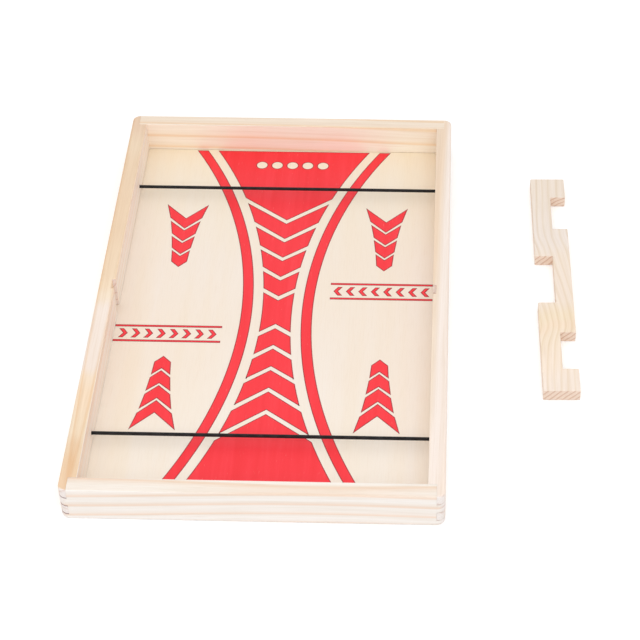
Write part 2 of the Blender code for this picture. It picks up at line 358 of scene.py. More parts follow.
def pine(
    name,
    pith,
    turn,
    ring_gap,
    band,
    tones,
    late,
    late_share,
    outer,
    end_tone,
    wander,
    seed,
    sweep,
    end_share=0.4,
    glue_stain=1,
):
    """Planed pine. Growth rings run round the pith line, which the turn lays along the grain, and all
    that follows is measured in that turned frame, with Z along the grain. Band is how much of each
    ring the hard summer wood takes, and late the colour that it multiplies in. Tones go along the
    piece. Outer is wood of another tone, as (axis, where it starts, where it is full, colour), and
    end_tone the ground of the cut ends. Sweep is how the grain swings aside: how far at most, and
    stops of (place along, share). End_share is how plainly the rings show in the cut ends, and
    glue_stain how dark the edges of glued fingers are."""
    finish, nodes, shader = start_finish(name)
    place = add_node(nodes, "TexCoord")
    lay = add_node(nodes, "Mapping", vector_type="TEXTURE")
    lay.inputs["Location"].default_value = pith
    lay.inputs["Rotation"].default_value = turn
    link_all(nodes, [(place, "Object", lay, "Vector")])

    straight = add_node(nodes, "SeparateXYZ")
    link_all(nodes, [(lay, "Vector", straight, 0)])
    along = add_node(nodes, "MapRange")
    along.inputs["From Min"].default_value = -half_length
    along.inputs["From Max"].default_value = half_length
    swing = ramp(nodes, [(at, (share, share, share)) for at, share in sweep[1]], "B_SPLINE")
    aside = add_node(nodes, "VectorMath", operation="MULTIPLY")
    aside.inputs[1].default_value = sweep[0]
    link_all(
        nodes,
        [
            (straight, "Z", along, "Value"),
            (along, "Result", swing, "Fac"),
            (swing, "Color", aside, 0),
        ],
    )
    swept = add_node(nodes, "VectorMath", operation="SUBTRACT")
    link_all(nodes, [(lay, "Vector", swept, 0), (aside, 0, swept, 1)])

    waver = noise(nodes, lay.outputs["Vector"], (60, 60, 9), 2, (seed, seed * 0.7, seed * 1.3))
    centre = add_node(nodes, "VectorMath", operation="SUBTRACT")
    centre.inputs[1].default_value = (0.5, 0.5, 0.5)
    spread = add_node(nodes, "VectorMath", operation="MULTIPLY")
    spread.inputs[1].default_value = (wander, wander, wander)
    drift = add_node(nodes, "VectorMath", operation="ADD")
    link_all(
        nodes,
        [
            (waver, "Color", centre, 0),
            (centre, 0, spread, 0),
            (swept, 0, drift, 0),
            (spread, 0, drift, 1),
        ],
    )
    rings = add_node(nodes, "TexWave", wave_type="RINGS", rings_direction="Z", wave_profile="SAW")
    # At a scale of one the rings stand pi / 10 apart.
    rings.inputs["Scale"].default_value = math.pi / 10 / ring_gap
    rings.inputs["Distortion"].default_value = 0
    link_all(nodes, [(drift, 0, rings, "Vector")])
    hard = ramp(
        nodes,
        [
            (0.0, (0.20, 0.20, 0.20)),
            (band * 0.35, (0, 0, 0)),
            (1 - band * 2.4, (0.05, 0.05, 0.05)),
            (1 - band * 1.5, (0.25, 0.25, 0.25)),
            (1 - band, (0.6, 0.6, 0.6)),
            (1 - band * 0.6, (1, 1, 1)),
            (1 - band * 0.25, (0.8, 0.8, 0.8)),
            (1.0, (0.20, 0.20, 0.20)),
        ],
    )
    link_all(nodes, [(rings, "Fac", hard, "Fac")])

    patchy = noise(nodes, lay.outputs["Vector"], (110, 110, 14), 1, (seed * 2, seed, seed))
    shifted = math_node(nodes, "MULTIPLY_ADD", patchy.outputs["Fac"], 0.06, -0.03)
    position = math_node(nodes, "ADD", along.outputs[0], shifted)
    tone = ramp(nodes, tones, "EASE")
    feed(nodes, position, tone, "Fac")

    fibre = noise(nodes, drift.outputs[0], (1500, 1500, 26), 3)
    fibre.inputs["Roughness"].default_value = 0.6
    streak = noise(nodes, drift.outputs[0], (330, 330, 5), 2, (seed, 0, seed))
    summer = math_node(nodes, "MULTIPLY", hard.outputs[0], late_share)
    outward = add_node(nodes, "MapRange", interpolation_type="SMOOTHSTEP")
    link_all(nodes, [(straight, outer[0], outward, "Value")])
    outward.inputs["From Min"].default_value = outer[1]
    outward.inputs["From Max"].default_value = outer[2]
    colour = mix_colour(nodes, "MIX", outward.outputs[0], tone.outputs[0], outer[3])
    colour = mix_colour(nodes, "MULTIPLY", summer, colour, late)
    fibre_tone = ramp(nodes, [(0.30, (0.93, 0.905, 0.87)), (0.55, (1, 1, 1))])
    streak_tone = ramp(nodes, [(0.32, (0.955, 0.93, 0.90)), (0.58, (1, 1, 1))])
    link_all(nodes, [(fibre, "Fac", fibre_tone, "Fac"), (streak, "Fac", streak_tone, "Fac")])
    colour = mix_colour(nodes, "MULTIPLY", 0.8, colour, fibre_tone.outputs[0])
    colour = mix_colour(nodes, "MULTIPLY", 1.0, colour, streak_tone.outputs[0])

    facing = add_node(nodes, "VectorMath", operation="DOT_PRODUCT")
    facing.inputs[1].default_value = Euler(turn).to_matrix() @ Vector((0, 0, 1))
    link_all(nodes, [(place, "Normal", facing, 0)])
    across_grain = add_node(nodes, "MapRange", interpolation_type="SMOOTHSTEP")
    across_grain.inputs["From Min"].default_value = 0.15
    across_grain.inputs["From Max"].default_value = 0.70
    feed(nodes, math_node(nodes, "ABSOLUTE", facing.outputs["Value"]), across_grain, "Value")
    end_grain = across_grain.outputs[0]
    dots = noise(nodes, place.outputs["Object"], (2600, 2600, 2600), 1)
    end_ring = ramp(
        nodes, [(0.25, (1, 1, 1)), (0.75, (0.80, 0.62, 0.52)), (1.0, (0.62, 0.42, 0.33))]
    )
    link_all(nodes, [(hard, "Color", end_ring, "Fac")])
    end_colour = mix_colour(nodes, "MULTIPLY", end_share, end_tone, end_ring.outputs[0])
    end_fleck = ramp(nodes, [(0.35, (0.90, 0.86, 0.83)), (0.60, (1, 1, 1))])
    link_all(nodes, [(dots, "Fac", end_fleck, "Fac")])
    end_colour = mix_colour(nodes, "MULTIPLY", 1.0, end_colour, end_fleck.outputs[0])
    colour = mix_colour(nodes, "MIX", end_grain, colour, end_colour)
    if glue_stain:
        stain = math_node(nodes, "MULTIPLY", joint_edge(nodes, place), glue_stain)
        colour = mix_colour(nodes, "MULTIPLY", stain, colour, glue_stain_colour)
    feed(nodes, colour, shader, "Base Color")

    rough = math_node(nodes, "MULTIPLY_ADD", hard.outputs[0], -0.10, 0.60)
    rough = math_node(nodes, "MULTIPLY_ADD", fibre.outputs["Fac"], 0.12, rough)
    feed(nodes, rough, shader, "Roughness")
    end_pits = math_node(nodes, "MULTIPLY", dots.outputs["Fac"], end_grain)
    height = math_node(nodes, "MULTIPLY_ADD", hard.outputs[0], 0.6, fibre.outputs["Fac"])
    height = math_node(nodes, "MULTIPLY_ADD", end_pits, 0.6, height)
    roughen(nodes, shader, height, 0.35, 0.00006)
    return finish


def dress(piece, finish, body, slot, *nodes):
    """Gives a finished piece its finish and body, and hides the CAD nodes that it stands for. Slot is
    not used.
    """
    piece.data.materials.clear()
    piece.data.materials.append(finish)
    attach(piece, body)
    if nodes:
        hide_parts(*nodes)


straight_grain = ((0, 0, 0), [(0, 0)])
left_side_rail = make_side_rail("left_side_rail", -1)
left_pine = pine(
    "left_rail_pine",
    pith=(-0.1045, 0, 0.0223),
    turn=(math.radians(-88.8), 0, 0),
    ring_gap=0.0054,
    band=0.15,
    tones=[
        (0.02, (0.840, 0.605, 0.405)),
        (0.054, (0.830, 0.603, 0.400)),
        (0.09, (0.845, 0.650, 0.460)),
        (0.123, (0.890, 0.740, 0.565)),
        (0.226, (0.920, 0.735, 0.550)),
        (0.26, (0.925, 0.765, 0.600)),
        (0.294, (0.915, 0.800, 0.720)),
        (0.431, (0.915, 0.800, 0.720)),
        (0.466, (0.910, 0.760, 0.600)),
        (0.5, (0.890, 0.710, 0.520)),
        (0.534, (0.870, 0.680, 0.490)),
        (0.67, (0.850, 0.650, 0.460)),
        (0.843, (0.835, 0.640, 0.455)),
        (0.91, (0.850, 0.675, 0.495)),
        (0.98, (0.815, 0.610, 0.450)),
    ],
    late=(0.93, 0.80, 0.66),
    late_share=0.8,
    outer=("X", 0.0042, 0.0045, (0.98, 0.908, 0.832)),
    end_tone=(0.90, 0.830, 0.800),
    wander=0.0009,
    seed=3.1,
    sweep=straight_grain,
)
dress(left_side_rail, left_pine, "tray", "pine", "left_rail")

right_side_rail = make_side_rail("right_side_rail", 1)
right_pine = pine(
    "right_rail_pine",
    pith=(0.086, 0, -0.030),
    turn=(math.radians(-89.5), 0, math.radians(-1.2)),
    ring_gap=0.0062,
    band=0.20,
    tones=[
        (0.0, (0.93, 0.800, 0.700)),
        (0.35, (0.90, 0.760, 0.620)),
        (0.60, (0.88, 0.725, 0.580)),
        (1.0, (0.87, 0.720, 0.580)),
    ],
    late=(0.96, 0.87, 0.77),
    late_share=0.5,
    outer=("X", 0.0152, 0.0200, (0.925, 0.820, 0.750)),
    end_tone=(0.90, 0.840, 0.810),
    wander=0.0016,
    seed=7.7,
    sweep=straight_grain,
)
dress(right_side_rail, right_pine, "tray", "pine", "right_rail")

# The end rails: the same planed pine, as wide as the tray, with the other two fingers of each corner.
# They are glued between the side rails' fingers, and rounded with them after gluing.
side_seam = finger_seam_x - glue_line / 2


def make_end_rail(name, end):
    """One end rail, finished: end is -1 for the near one and 1 for the far one."""
    outer = end * half_length
    inner = end * inside_y
    low = (-half_width, min(outer, inner), 0)
    high = (half_width, max(outer, inner), tray_height)
    rail = start_block(name, low, high)
    round_edges(
        rail, lambda m, d: abs(d.z) > 0.9 and near(m.y, outer), corner_radius, corner_steps
    )
    rims = (0, tray_height)
    round_edges(
        rail,
        lambda m, d: any(near(m.z, rim) for rim in rims) and not near(m.y, inner) and abs(d.z) < 0.1,
        long_edge_radius,
        long_edge_steps,
    )
    round_edges(
        rail,
        lambda m, d: near(m.z, tray_height) and near(m.y, inner) and abs(d.x) > 0.9,
        long_edge_radius,
        long_edge_steps,
    )
    for side in (-1, 1):
        x = sorted((side * side_seam, side * (half_width + past)))
        y = sorted((end * (inside_y - past), end * (half_length + past)))
        for count in (0, 2):
            top = tray_height - finger_height * count + (past if count == 0 else finger_gap / 2)
            bottom = tray_height - finger_height * (count + 1) - finger_gap / 2
            work(rail, start_block("finger_slot", (x[0], y[0], bottom), (x[1], y[1], top)))
    y = sorted((end * (inside_y - past), end * pocket_y))
    work(rail, start_block("pocket_cut", (-pocket_x, y[0], -past), (pocket_x, y[1], pocket_height)))
    ease_and_smooth(rail, arris)
    return rail


near_end_rail = make_end_rail("near_end_rail", -1)
near_pine = pine(
    "near_rail_pine",
    pith=(0, -0.1723, 0.0237),
    turn=(0, math.radians(90), 0),
    ring_gap=0.0077,
    band=0.23,
    tones=[
        (0.2, (0.905, 0.825, 0.745)),
        (0.4, (0.910, 0.845, 0.770)),
        (0.8, (0.915, 0.860, 0.795)),
    ],
    late=(0.95, 0.80, 0.69),
    late_share=1.0,
    outer=("Y", -0.0017, -0.0027, (0.920, 0.872, 0.832)),
    end_tone=(0.92, 0.860, 0.830),
    wander=0.0006,
    seed=1.3,
    sweep=(
        (-0.0065, 0, 0),
        [
            (0.186, 0.22),
            (0.30, 0.45),
            (0.40, 0.70),
            (0.50, 0.92),
            (0.60, 1.0),
            (0.70, 0.97),
            (0.814, 0.75),
        ],
    ),
)
dress(near_end_rail, near_pine, "tray", "pine", "near_rail")

far_end_rail = make_end_rail("far_end_rail", 1)
far_pine = pine(
    "far_rail_pine",
    pith=(0, 0.190, 0.0310),
    turn=(0, math.radians(90), 0),
    ring_gap=0.0073,
    band=0.18,
    # These tones fall on the inner face only. They are painted about a twentieth lighter than the wood,
    # to make up for the shade that face stands in, and least red in the middle, against the red light
    # bounced from the print.
    tones=[
        (0.20, (0.980, 0.865, 0.750)),
        (0.38, (0.975, 0.905, 0.780)),
        (0.50, (0.960, 0.950, 0.830)),
        (0.62, (0.975, 0.945, 0.830)),
        (0.75, (0.985, 0.920, 0.810)),
        (0.81, (0.960, 0.865, 0.745)),
    ],
    late=(0.96, 0.83, 0.68),
    late_share=1.0,
    outer=("Y", -0.0249, -0.0244, (0.895, 0.768, 0.640)),
    end_tone=(0.91, 0.840, 0.800),
    wander=0.0008,
    seed=5.9,
    sweep=(
        (-0.0094, 0, 0),
        [
            (0.20, 1.0),
            (0.33, 0.94),
            (0.43, 0.92),
            (0.50, 0.81),
            (0.57, 0.78),
            (0.64, 0.67),
            (0.71, 0.57),
            (0.80, 0.43),
        ],
    ),
)
dress(far_end_rail, far_pine, "tray", "pine", "far_rail")

# The playing board: a sheet of pale three-layer plywood, let into the rails from below. Its face
# veneer runs the long way, sanded smooth, with hardly any figure.
board_thickness = 0.0025
board_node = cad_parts["playing_board"]
plywood, nodes, shader = start_finish("playing_board_plywood")
place = add_node(nodes, "TexCoord")
veneer = noise(nodes, place.outputs["Object"], (95, 5, 95), 3)
veneer.inputs["Roughness"].default_value = 0.45
pore = noise(nodes, place.outputs["Object"], (1700, 75, 1700), 2)
cloud = noise(nodes, place.outputs["Object"], (16, 7, 16), 1)
veneer_tone = ramp(
    nodes, [(0.30, (0.917, 0.814, 0.698)), (0.50, (0.922, 0.828, 0.728)), (0.72, (0.925, 0.840, 0.755))]
)
pore_tone = ramp(nodes, [(0.28, (0.955, 0.935, 0.91)), (0.50, (1, 1, 1))])
cloud_tone = ramp(nodes, [(0.35, (1, 0.985, 0.955)), (0.65, (1, 1, 1))])
board_apart = add_node(nodes, "SeparateXYZ")
board_along = add_node(nodes, "MapRange")
board_along.inputs["From Min"].default_value = -inside_y
board_along.inputs["From Max"].default_value = inside_y
# Painted light along the board: both ends are painted lighter, the near one most, to make up for the
# shade of the end rails. The far end is also a yellower tone.
board_light_and_tone = ramp(
    nodes,
    [
        (0.05, (0.985, 1, 1)),
        (0.35, (0.960, 0.945, 0.935)),
        (0.65, (0.960, 0.943, 0.930)),
        (1, (0.978, 0.962, 0.870)),
    ],
)
link_all(
    nodes,
    [
        (veneer, "Fac", veneer_tone, "Fac"),
        (pore, "Fac", pore_tone, "Fac"),
        (cloud, "Fac", cloud_tone, "Fac"),
        (place, "Object", board_apart, 0),
        (board_apart, "Y", board_along, "Value"),
        (board_along, "Result", board_light_and_tone, "Fac"),
    ],
)
board_colour = mix_colour(nodes, "MULTIPLY", 0.5, veneer_tone.outputs[0], pore_tone.outputs[0])
board_colour = mix_colour(nodes, "MULTIPLY", 1.0, board_colour, cloud_tone.outputs[0])
board_colour = mix_colour(nodes, "MULTIPLY", 1.0, board_colour, board_light_and_tone.outputs[0])
feed(nodes, board_colour, shader, "Base Color")
board_rough = math_node(nodes, "MULTIPLY_ADD", pore.outputs["Fac"], -0.15, 0.60)
feed(nodes, board_rough, shader, "Roughness")
roughen(nodes, shader, pore.outputs["Fac"], 0.25, 0.00004)
board_node.data.materials.clear()
board_node.data.materials.append(plywood)

# The print: one coat of red screen ink on the board's upper face. A lane narrows towards the middle
# between two arcs, cut by thin chevrons, with a curved stripe beside each arc, an arrow at each corner
# and a pair of lines at each side. The ink is thin enough for the board's grain to show in it.
print_x = 0.0011
print_y = -0.0004
arc_y = -0.0007
ink_low = board_thickness - 0.00002
ink_high = board_thickness + 0.00005
ink_block_top = board_thickness + 0.001
# The edges are arcs, each with its distance from the middle at the neck and its radius.
lane_edge = (0.00955, 0.3366)
stripe_inner_edge = (0.01576, 0.3319)
stripe_outer_edge = (0.02269, 0.3272)
# With this many sides no arc ends in a sliver at the print's ends, where the bead's inset would fold.
arc_sides = 736
# Each cut: its outer and inner tip, then x and y where its outer and inner edges leave the lane.
chevron_cuts = (
    (0.09055, 0.08695, 0.0289, 0.11305, 0.0266, 0.10735),
    (0.07135, 0.06805, 0.0209, 0.08805, 0.0196, 0.08315),
    (0.05265, 0.04935, 0.0156, 0.06445, 0.0146, 0.06015),
    (0.03355, 0.03025, 0.0120, 0.04305, 0.0115, 0.03885),
    (0.01495, 0.01115, 0.0099, 0.02225, 0.0098, 0.01845),
)
# Each part of an arrow: its tip, x and y of its shoulder, x and y of its base, and its notch.
arrow_parts = (
    (0.04210, 0.0052, 0.04750, 0.0060, 0.05892, 0.05312),
    (0.05488, 0.0063, 0.06118, 0.0077, 0.07312, 0.06622),
    (0.06788, 0.0079, 0.07568, 0.0100, 0.08862, 0.07902),
    (0.08078, 0.0107, 0.09188, 0.0140, 0.10585, 0.09142),
)
print_gap_near = 0.0001
print_gap_far = 0.0009
print_near = print_gap_near - inside_y
print_far = inside_y - print_gap_far
cut_low = -0.004
cut_high = 0.009
# Every cut runs on past the lane's edges, to this many times its length.
cut_run = 1.4
lane_block_x = 0.055
stripe_block_x = (0.014, 0.075)


def ink_block(x0, x1, y0, y1):
    """A block of ink between these sides, x being measured from the middle of the print."""
    low = (print_x + min(x0, x1), min(y0, y1), 0)
    high = (print_x + max(x0, x1), max(y0, y1), ink_block_top)
    return start_block("ink", low, high)


def arc_disc(side, edge):
    """A disc for one arc of the print, from its distance to the middle at the neck and its radius."""
    neck, radius = edge
    x = print_x + side * (neck + radius)
    return start_drill("arc", (x, arc_y, cut_low), (x, arc_y, cut_high), 2 * radius, arc_sides)


def vee(name, points, low, high):
    """A V-shaped block: a cube split down the middle, its corners moved to six points."""
    block = start_block(name, (-1, 0, low), (1, 1, high))
    bpy.ops.object.mode_set(mode="EDIT")
    bpy.ops.mesh.select_all(action="SELECT")
    bpy.ops.mesh.bisect(plane_co=(0, 0, 0), plane_no=(1, 0, 0), threshold=0.000001)
    shape = bmesh.from_edit_mesh(block.data)
    for corner in shape.verts:
        key = (round(corner.co.x), round(corner.co.y))
        corner.co.x, corner.co.y = points[key]
    bmesh.update_edit_mesh(block.data)
    bpy.ops.mesh.select_all(action="SELECT")
    bpy.ops.mesh.normals_make_consistent(inside=False)
    if bmesh.from_edit_mesh(block.data).calc_volume(signed=True) < 0:
        bpy.ops.mesh.flip_normals()
    bpy.ops.object.mode_set(mode="OBJECT")
    return block


def join(name, parts):
    """One object of several."""
    bpy.ops.object.select_all(action="DESELECT")
    for part in parts:
        part.select_set(True)
    bpy.context.view_layer.objects.active = parts[0]
    bpy.ops.object.join()
    parts[0].name = name
    return parts[0]


lane = ink_block(-lane_block_x, lane_block_x, print_near, print_far)
for side in (-1, 1):
    work(lane, arc_disc(side, lane_edge))
for end in (-1, 1):
    for outer_tip, inner_tip, outer_x, outer_y, inner_x, inner_y in chevron_cuts:
        ox = outer_x * cut_run
        oy = end * (outer_tip + (outer_y - outer_tip) * cut_run) + print_y
        ix = inner_x * cut_run
        iy = end * (inner_tip + (inner_y - inner_tip) * cut_run) + print_y
        points = {
            (-1, 1): (print_x - ox, oy),
            (0, 1): (print_x, end * outer_tip + print_y),
            (1, 1): (print_x + ox, oy),
            (-1, 0): (print_x - ix, iy),
            (0, 0): (print_x, end * inner_tip + print_y),
            (1, 0): (print_x + ix, iy),
        }
        work(lane, vee("chevron_cut", points, cut_low, cut_high))

# A row of plain round spots stands in the lane's far end.
spot_width = 0.0072
spot_pitch = 0.0105
spot_y = 0.1487
spot_count = 5
spot_sides = 40
for count in range(spot_count):
    x = print_x + (count - (spot_count - 1) / 2) * spot_pitch
    spot = start_drill("spot", (x, spot_y, cut_low), (x, spot_y, cut_high), spot_width, spot_sides)
    work(lane, spot)

inked = [lane]
for side in (-1, 1):
    x0, x1 = (side * x for x in stripe_block_x)
    stripe = ink_block(x0, x1, print_near, print_far)
    work(stripe, arc_disc(side, stripe_outer_edge))
    work(stripe, arc_disc(side, stripe_inner_edge), "INTERSECT")
    inked.append(stripe)

# Each arrow: its x, its end of the board, and how far it is printed off its place.
arrow_places = ((-0.0673, -1, 0.0), (0.0670, -1, 0.0001), (-0.0674, 1, -0.0008), (0.0666, 1, -0.0018))
for place_x, end, drift_y in arrow_places:
    x = print_x + place_x
    for tip, shoulder_x, shoulder_y, base_x, base_y, notch in arrow_parts:
        points = {
            (-1, 1): (x - base_x, end * base_y + drift_y),
            (0, 1): (x, end * notch + drift_y),
            (1, 1): (x + base_x, end * base_y + drift_y),
            (-1, 0): (x - shoulder_x, end * shoulder_y + drift_y),
            (0, 0): (x, end * tip + drift_y),
            (1, 0): (x + shoulder_x, end * shoulder_y + drift_y),
        }
        inked.append(vee("arrow_part", points, 0, ink_block_top))

# Between the paired lines runs a row of small plain chevrons, pointing away from the player.
line_width = 0.0019
# Each pair: where the lines start and end in x, the y of each, and which way the chevrons point.
line_pairs = ((-0.0998, -0.0323, -0.0151, -0.02865, -1), (0.0340, 0.0997, 0.0134, 0.0273, 1))
mark_count = 8
mark_pitch = 0.007992
mark_height = 0.0082
mark_stroke = 0.0030
mark_lean = 0.0028
for x0, x1, y0, y1, way in line_pairs:
    for y in (y0, y1):
        inked.append(ink_block(x0 - print_x, x1 - print_x, y - line_width / 2, y + line_width / 2))
    middle = (y0 + y1) / 2
    for count in range(mark_count):
        x = (x0 + x1) / 2 + (count - (mark_count - 1) / 2) * mark_pitch
        a = x - mark_stroke / 2 - mark_lean / 2
        b = x + mark_stroke / 2 - mark_lean / 2
        low_y = middle - mark_height / 2
        high_y = middle + mark_height / 2
        points = {
            (-1, 0): (a, low_y),
            (-1, 1): (b, low_y),
            (0, 0): (a + mark_lean, middle),
            (0, 1): (b + mark_lean, middle),
            (1, 0): (a, high_y),
            (1, 1): (b, high_y),
        }
        if way > 0:
            points = {key: (2 * x - px, 2 * middle - py) for key, (px, py) in points.items()}
        inked.append(vee("mark", points, 0, ink_block_top))

red_print = join("red_print", inked)
bpy.ops.object.mode_set(mode="EDIT")
bpy.ops.mesh.select_mode(type="FACE")
bpy.ops.mesh.select_all(action="DESELECT")
shape = bmesh.from_edit_mesh(red_print.data)
for corner in shape.verts:
    corner.co.z = ink_high if corner.co.z > board_thickness / 2 else ink_low
shape.normal_update()
for face in shape.faces:
    face.select_set(face.normal.z > 0.9)
bmesh.update_edit_mesh(red_print.data)

# The ink lies thicker and darker in a bead along its edge, where it ran to the stencil.
ink_bead = 0.0008
bpy.ops.mesh.inset(thickness=ink_bead, depth=0, use_even_offset=True)
shape = bmesh.from_edit_mesh(red_print.data)
edge_level = shape.verts.layers.float.new("ink_edge")
inner_corners = set()
for face in shape.faces:
    if face.select:
        inner_corners.update(face.verts)
for corner in shape.verts:
    corner[edge_level] = 0 if corner in inner_corners else 1
bmesh.update_edit_mesh(red_print.data)
bpy.ops.mesh.select_all(action="DESELECT")
bpy.ops.object.mode_set(mode="OBJECT")

ink, nodes, shader = start_finish("red_screen_ink")
place = add_node(nodes, "TexCoord")
ink_streak = noise(nodes, place.outputs["Object"], (240, 11, 240), 3)
ink_pore = noise(nodes, place.outputs["Object"], (1900, 190, 1900), 1)
ink_tone = ramp(
    nodes,
    [
        (0.30, (0.900, 0.018, 0.030)),
        (0.55, (0.930, 0.024, 0.038)),
        (0.75, (0.950, 0.034, 0.050)),
    ],
)
pinhole = ramp(nodes, [(0.20, (0.30, 0.30, 0.30)), (0.27, (0, 0, 0))])
link_all(nodes, [(ink_streak, "Fac", ink_tone, "Fac"), (ink_pore, "Fac", pinhole, "Fac")])
ink_colour = mix_colour(nodes, "MIX", pinhole.outputs[0], ink_tone.outputs[0], (0.93, 0.35, 0.30))
bead = add_node(nodes, "Attribute", attribute_name="ink_edge")
ink_colour = mix_colour(nodes, "MIX", bead.outputs["Fac"], ink_colour, (0.13, 0.006, 0.011))
feed(nodes, ink_colour, shader, "Base Color")
ink_rough = math_node(nodes, "MULTIPLY_ADD", ink_pore.outputs["Fac"], 0.2, 0.40)
feed(nodes, ink_rough, shader, "Roughness")
roughen(nodes, shader, ink_pore.outputs["Fac"], 0.2, 0.00003)
red_print.data.materials.clear()
red_print.data.materials.append(ink)
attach(red_print, "tray")

# The elastics: round black elastic, a rubber core in a braided sleeve, drawn straight across the tray
# through a hole in each side rail. Each is made as two halves that meet at mid-span.
elastic_width = 0.0022
elastic_steps = 105
cord_roundness = 3
strand_count = 6
strand_pitch = 0.0011


def drawn_cord(name, points, width):
    """A tube along the points, with its own map: across is round it, up is along it."""
    route = bpy.data.curves.new(name, "CURVE")
    route.dimensions = "3D"
    route.bevel_depth = width / 2
    route.bevel_resolution = cord_roundness
    route.use_fill_caps = True
    line = route.splines.new("POLY")
    line.points.add(len(points) - 1)
    for point, at in zip(line.points, points):
        point.co = (*at, 1)
    piece = bpy.data.objects.new(name, route)
    bpy.context.scene.collection.objects.link(piece)
    only(piece)
    bpy.ops.object.convert(target="MESH")
    piece = bpy.context.object
    bpy.ops.object.shade_smooth_by_angle(angle=sharp_angle)
    return piece


def braid(name, length):
    """Black braided sleeve for a cord of this length: two sets of strands winding across each other."""
    finish, nodes, shader = start_finish(name)
    place = add_node(nodes, "TexCoord")
    apart = add_node(nodes, "SeparateXYZ")
    link_all(nodes, [(place, "UV", apart, 0)])
    rounds = math_node(nodes, "MULTIPLY", apart.outputs["X"], 2 * math.pi * strand_count)
    along = math_node(nodes, "MULTIPLY", apart.outputs["Y"], 2 * math.pi * length / strand_pitch)
    left = math_node(nodes, "SINE", math_node(nodes, "ADD", rounds, along))
    right = math_node(nodes, "SINE", math_node(nodes, "SUBTRACT", rounds, along))
    weave = math_node(nodes, "MAXIMUM", left, right)
    fuzz = noise(nodes, place.outputs["Object"], (2600, 2600, 2600), 2)
    height = math_node(nodes, "MULTIPLY_ADD", fuzz.outputs["Fac"], 0.5, weave)
    tone = ramp(
        nodes,
        [
            (0.05, (0.003, 0.003, 0.0035)),
            (0.75, (0.010, 0.010, 0.011)),
            (1.0, (0.020, 0.020, 0.023)),
        ],
    )
    feed(nodes, math_node(nodes, "MULTIPLY_ADD", height, 0.45, 0.35, clamp=True), tone, "Fac")
    feed(nodes, tone.outputs[0], shader, "Base Color")
    rough = math_node(nodes, "MULTIPLY_ADD", fuzz.outputs["Fac"], 0.2, 0.5)
    feed(nodes, rough, shader, "Roughness")
    shader.inputs["Specular IOR Level"].default_value = 0.3
    shader.inputs["Sheen Weight"].default_value = 0.05
    shader.inputs["Sheen Roughness"].default_value = 0.4
    roughen(nodes, shader, height, 0.7, 0.0001)
    return finish


elastic_end = half_width - knot_seat_depth
elastic_braid = braid("elastic_braid", elastic_end)
for body, end in (("near_elastic", -1), ("far_elastic", 1)):
    for word, side in (("left", -1), ("right", 1)):
        route = []
        for step in range(elastic_steps + 1):
            x = side * elastic_end * (1 - step / elastic_steps)
            route.append((x, end * elastic_y, elastic_height))
        half = drawn_cord(f"{body}_{word}_half", route, elastic_width)
        half.data.materials.clear()
        half.data.materials.append(elastic_braid)
        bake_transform(half)
        if side < 0:
            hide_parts(body)

# The knots: each end of an elastic is tied in an overhand knot, pulled down into its seat on the
# outside of the rail, and cut off short.
knot_strand = 0.00165
knot_scale = 0.00078
knot_rise = 0.00088
knot_middle = 0.00178
knot_start = 1.14 * math.pi
knot_round = 1.72 * math.pi
knot_steps = 120
knot_length = 0.020
knot_lead = [(0.0, 0.0, 0.0), (0.0001, 0.0, -0.0004), (0.0002, 0.0001, -0.0010)]
knot_tail = [(0.0006, 0.0003, 0.0), (0.0016, 0.0004, 0.0001)]
knot_braid = braid("knot_braid", knot_length)
# The strand runs round a trefoil, seen along the hole.
knot_route = list(knot_lead)
for step in range(knot_steps + 1):
    t = knot_start + knot_round * step / knot_steps
    p = knot_scale * (math.sin(t) + 2 * math.sin(2 * t))
    q = knot_scale * (math.cos(t) - 2 * math.cos(2 * t))
    knot_route.append((knot_middle - knot_rise * math.sin(3 * t), p, q))
last = Vector(knot_route[-1])
knot_route += [tuple(last + Vector(beyond)) for beyond in knot_tail]
for body, end in (("near_elastic", -1), ("far_elastic", 1)):
    for word, side in (("left", -1), ("right", 1)):
        placed = []
        for out, p, q in knot_route:
            x = side * elastic_end + side * out
            placed.append((x, end * elastic_y + p, elastic_height + q))
        knot = drawn_cord(f"{body}_{word}_overhand", placed, knot_strand)
        dress(knot, knot_braid, "tray", "elastic", f"{body}_{word}_knot")

# The brads: small round-headed steel nails, driven up through the board into the rails from below,
# their heads set flush with the board.
brad_head = 0.0024
brad_head_thickness = 0.0006
brad_shank = 0.0012
brad_length = 0.010
brad_point = 0.0012
brad_point_share = 0.06
brad_rim = 0.00018
brad_rim_steps = 3
brad_rim_from = 0.45 * brad_head
brad_face_share = 0.22
brad_sides = 40
brad_in_rail = 0.0025

bright_steel, nodes, shader = start_finish("bright_steel")
place = add_node(nodes, "TexCoord")
scuff = noise(nodes, place.outputs["Object"], (2200, 2200, 2200), 3)
steel_tone = ramp(nodes, [(0.30, (0.44, 0.44, 0.43)), (0.65, (0.62, 0.62, 0.60))])
link_all(nodes, [(scuff, "Fac", steel_tone, "Fac"), (steel_tone, "Color", shader, "Base Color")])
shader.inputs["Metallic"].default_value = 1.0
feed(nodes, math_node(nodes, "MULTIPLY_ADD", scuff.outputs["Fac"], 0.3, 0.22), shader, "Roughness")
roughen(nodes, shader, scuff.outputs["Fac"], 0.3, 0.00003)

head_top = (0, 0, brad_head_thickness)
model_brad = start_drill("model_brad", (0, 0, 0), head_top, brad_head, brad_sides)
bpy.ops.object.mode_set(mode="EDIT")
bpy.ops.mesh.select_mode(type="FACE")


def pick_end(piece, height, way):
    """Selects the flat faces at this height that look up, or down where way is -1."""
    bpy.ops.mesh.select_all(action="DESELECT")
    shape = bmesh.from_edit_mesh(piece.data)
    for face in shape.faces:
        level = face.calc_center_median().z
        face.select_set(face.normal.z * way > 0.9 and near(level, height))
    bmesh.update_edit_mesh(piece.data)


